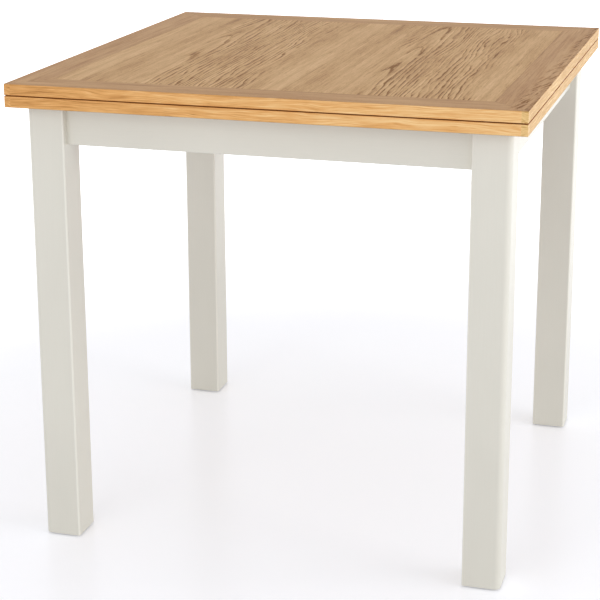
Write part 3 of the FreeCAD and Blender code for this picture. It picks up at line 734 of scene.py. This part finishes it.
cleatPlaces = []
for cleat, side in (("rail_cleat_front", -1), ("rail_cleat_back", 1)):
    low, high = boxOf(cleat)
    middle = middleOf(cleat)
    inner = low.y if side > 0 else high.y
    for reach in (-screwPlaces["cleatPair"], screwPlaces["cleatPair"]):
        cleatPlaces.append(((middle.x + reach, middle.y, low.z), (0, 0, 1), reach))
    cleatPlaces.append(((middle.x, inner, middle.z), (0, side, 0), screwPlaces["cleatSpin"] * side))
setOut(screws["cleatScrew"], "railCleatScrews", cleatPlaces,
       "frame", "zinc_steel", zinc, "rail_cleat_screws")

middle = middleOf("stop_block")
seat = boxOf("stop_block_screws")[1].x
setOut(screws["cleatScrew"], "stopBlockScrews",
       [((seat, middle.y + reach, middle.z), (-1, 0, 0), screwPlaces["stopSpin"] * reach)
        for reach in (-screwPlaces["stopPair"], screwPlaces["stopPair"])],
       "frame", "zinc_steel", zinc, "stop_block_screws")
for master in screws.values():
    bpy.data.objects.remove(master)
print("screws set out")


# hexagon nuts with turned chamfers; the swivel's lock nut has a collar that holds a nylon ring
nutSpecs = {
    "boltNut": {"flats": 13.0, "height": 6.5, "bore": 4.1, "chamfer": 0.9, "spin": 17.0,
                "seat": 298.08},  # where the washer ends, from the middle of the table both ways
    "lockNut": {"flats": 19.0, "height": 7.4, "bore": 6.1, "chamfer": 1.2, "collar": 8.6, "total": 10.0,
                "lip": ((0.0, 1.0), (0.6, 0.3), (1.2, 0.0)),  # insets from the collar's side and top
                "ring": 7.4, "ringLip": ((0.05, 0.4), (0.5, 0.1))},
}
nutShape = {
    "points": 6,
    "sides": 48,  # of what is turned
    "faceShare": 0.9,  # how far out a nut's face is flat, as a share of its points' reach
}


def modelNut(name, spec):
    point = spec["flats"] / math.sqrt(3)
    flat, high, chamfer = point * nutShape["faceShare"], spec["height"], spec["chamfer"]
    sides = nutShape["sides"]
    nut = turned(name, [(point, 0), (point, high)], nutShape["points"])
    blank = turned("blank", [(flat, 0), (point, chamfer), (point, high - chamfer), (flat, high)], sides)
    carve(nut, blank, "INTERSECT")
    if "collar" in spec:
        collar, total = spec["collar"], spec["total"]
        lip = [(collar - inset, total - drop) for inset, drop in spec["lip"]]
        carve(nut, turned("collar", [(collar, high - chamfer)] + lip, sides), "UNION")
        carve(nut, turned("seat", [(spec["ring"], high), (spec["ring"], total + overrun)], sides))
    carve(nut, turned("bore", [(spec["bore"], -overrun), (spec["bore"], high + overrun)], sides))
    return nut


def modelRing(name, spec):
    low, high, bore = spec["height"], spec["total"], spec["bore"]
    lip = [(spec["ring"] - inset, high - drop) for inset, drop in spec["ringLip"]]
    ring = turned(name, [(lip[0][0], low)] + lip, nutShape["sides"])
    carve(ring, turned("bore", [(bore, low - overrun), (bore, high + overrun)], nutShape["sides"]))
    return ring


boltSpec, lockSpec = nutSpecs["boltNut"], nutSpecs["lockNut"]
boltNut = modelNut("boltNut", boltSpec)
setOut(boltNut, "hangerBoltNuts",
       [((sideX * boltSpec["seat"], sideY * boltSpec["seat"], blockLevel), (-sideX, -sideY, 0),
         boltSpec["spin"] * sideX) for sideX in (-1, 1) for sideY in (-1, 1)],
       "frame", "zinc_steel", zinc, "hanger_bolt_nuts")
lockNut = modelNut("lockNut", lockSpec)
lockPlaces = [((pivot.x, pivot.y, boxOf("pivot_lock_nut")[1].z), (0, 0, -1), 0)]
setOut(lockNut, "swivelLockNut", lockPlaces, "lower_leaf", "zinc_steel", zinc, "pivot_lock_nut")
ring = modelRing("ring", lockSpec)
setOut(ring, "lockNutRing", lockPlaces, "lower_leaf", "nylon", nylon)
for master in (boltNut, lockNut, ring):
    bpy.data.objects.remove(master)
print("nuts set out")


# felt slides along the tops of the aprons: die-cut strips with soft corners and a woolly face
feltSpec = {
    "long": 40.0,
    "wide": 14.0,
    "thick": 1.8,
    "corner": 2.5,
    "cornerSteps": 4,
    "rim": 0.4,
    "rimSteps": 2,
    "tuft": 0.6,  # size of the faces that are ruffled
    "fuzz": 0.1,  # how far
    "along": 198.4,  # each side of an apron's middle
}


def modelStrip(spec):
    bpy.ops.object.select_all(action="DESELECT")
    bpy.ops.mesh.primitive_cube_add(size=mm, location=(0, 0, mm / 2))
    strip = bpy.context.object
    bpy.ops.object.transform_apply(location=True, rotation=True, scale=True)
    bpy.ops.object.mode_set(mode="EDIT")
    bpy.ops.transform.resize(value=(spec["long"], spec["wide"], spec["thick"]), center_override=(0, 0, 0))
    bpy.ops.mesh.select_all(action="DESELECT")
    bpy.ops.mesh.select_mode(type="EDGE")
    bpy.ops.object.mode_set(mode="OBJECT")
    for edge in strip.data.edges:
        ends = [strip.data.vertices[i].co for i in edge.vertices]
        edge.select = abs(ends[0].z - ends[1].z) > mm  # the four upright corners
    bpy.ops.object.mode_set(mode="EDIT")
    bpy.ops.mesh.bevel(offset=spec["corner"] * mm, segments=spec["cornerSteps"], affect="EDGES")
    bpy.ops.mesh.select_all(action="DESELECT")
    bpy.ops.mesh.select_mode(type="FACE")
    bpy.ops.object.mode_set(mode="OBJECT")
    for face in strip.data.polygons:
        face.select = abs(face.normal.z) > levelFace
    bpy.ops.object.mode_set(mode="EDIT")
    bpy.ops.mesh.bevel(offset=spec["rim"] * mm, segments=spec["rimSteps"], affect="EDGES")
    bpy.ops.object.mode_set(mode="OBJECT")
    remesh = strip.modifiers.new("even", "REMESH")
    remesh.mode, remesh.voxel_size = "VOXEL", spec["tuft"] * mm
    bpy.ops.object.modifier_apply(modifier=remesh.name)
    bpy.ops.object.mode_set(mode="EDIT")
    bpy.ops.mesh.select_all(action="SELECT")
    bpy.ops.transform.vertex_random(offset=spec["fuzz"] * mm, uniform=1.0, normal=0.0, seed=4)
    bpy.ops.object.mode_set(mode="OBJECT")
    return strip


strip = modelStrip(feltSpec)
low, high = boxOf("slide_pads")
out = high.x - feltSpec["wide"] / 2
stripPlaces = []
for side in (-1, 1):
    for reach in (-feltSpec["along"], feltSpec["along"]):
        stripPlaces.append(((reach, side * out, low.z), (0, 0, 1), 0))
        stripPlaces.append(((side * out, reach, low.z), (0, 0, 1), 90))
strips = setOut(strip, "feltSlides", stripPlaces, "frame", "felt", felt, "slide_pads")
bpy.data.objects.remove(strip)
print("felt slides laid:", len(strips.data.polygons), "faces")


# floor, light and camera, in metres and degrees

def seenRays(tree):
    # 1 where the eye sees it, straight or in a reflection, and 0 where it only lights the table
    rays = addNode(tree, "LightPath").outputs
    seen = rays["Is Camera Ray"]
    for kind in ("Is Glossy Ray", "Is Transmission Ray"):
        seen = addNode(tree, "Math", [seen, rays[kind]], operation="MAXIMUM")
    return seen


# pale polished floor that fades into the white behind it
floorSpec = {
    "reach": 30.0,
    "colour": "#f3f4fb",
    "glow": (0.24, 1.0),  # under the table, and where it has faded
    "fade": (0.8, 2.2),  # how far from the table's middle it begins to fade, and has faded
    "gloss": 0.5,
    "roughness": 0.24,
}
bpy.ops.object.select_all(action="DESELECT")
bpy.ops.mesh.primitive_plane_add(size=floorSpec["reach"])
floor = bpy.context.object
floor.name = "studioFloor"
floorMaterial, floorTree, floorShader = newMaterial("paleGlossFloor", **{
    "Base Color": linear(floorSpec["colour"]), "Roughness": floorSpec["roughness"],
    "Specular IOR Level": floorSpec["gloss"], "Emission Color": (1, 1, 1, 1)})
floorPlace = addNode(floorTree, "TexCoord").outputs["Object"]
away = addNode(floorTree, "VectorMath", [floorPlace], operation="LENGTH").outputs["Value"]
lift = addNode(floorTree, "MapRange", [away, *floorSpec["fade"], *floorSpec["glow"]],
               interpolation_type="SMOOTHSTEP")
addNode(floorTree, "Math", [seenRays(floorTree), lift], operation="MULTIPLY",
        to=floorShader.inputs["Emission Strength"])
floor.data.materials.append(floorMaterial)
floor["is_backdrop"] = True

# white studio, dimmer as a light than it looks
skySpec = {"light": 0.7, "seen": 1.0}
sky = bpy.data.worlds.new("studioSky")
bpy.context.scene.world = sky
sky.use_nodes = True
skyTree = sky.node_tree
background = skyTree.nodes["Background"]
background.inputs["Color"].default_value = (1, 1, 1, 1)
addNode(skyTree, "MapRange", [seenRays(skyTree), 0, 1, skySpec["light"], skySpec["seen"]],
        to=background.inputs["Strength"])

softBoxes = {
    "rightBox": {"place": (4.8, -0.4, 1.3), "aim": (0.0, 0.0, 0.45), "size": 3.2, "power": 81.0},
    "frontBox": {"place": (-0.9, -3.8, 1.7), "aim": (0.0, 0.0, 0.4), "size": 2.6, "power": 23.0},
}
for name, spec in softBoxes.items():
    bpy.ops.object.light_add(type="AREA", location=spec["place"])
    lamp = bpy.context.object
    lamp.name = name
    lamp.data.size = spec["size"]
    lamp.data.energy = spec["power"]
    beam = Vector(spec["aim"]) - Vector(spec["place"])
    lamp.rotation_euler = beam.to_track_quat("-Z", "Y").to_euler()

cameraSpec = {
    "place": (0.7689, -2.7680, 1.2364),
    "yaw": 16.503,
    "pitch": 15.633,
    "roll": -0.207,
    "film": 36.0,
    "focalShare": 2.8572,  # of the film's width
    "shift": -0.10,  # of the picture's side
}
cameraData = bpy.data.cameras.new("photoCamera")
camera = bpy.data.objects.new("photoCamera", cameraData)
bpy.context.scene.collection.objects.link(camera)
cameraData.sensor_width = cameraSpec["film"]
cameraData.lens = cameraSpec["focalShare"] * cameraSpec["film"]
cameraData.shift_y = cameraSpec["shift"]
turn = Euler((math.radians(90 - cameraSpec["pitch"]), 0.0, math.radians(cameraSpec["yaw"]))).to_matrix()
tilt = Matrix.Rotation(math.radians(cameraSpec["roll"]), 3, "Z")
camera.matrix_world = Matrix.Translation(cameraSpec["place"]) @ (turn @ tilt).to_4x4()
bpy.context.scene.camera = camera

bpy.context.scene.view_settings.view_transform = "Standard"
print("floor, light and camera set")

low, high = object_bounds()
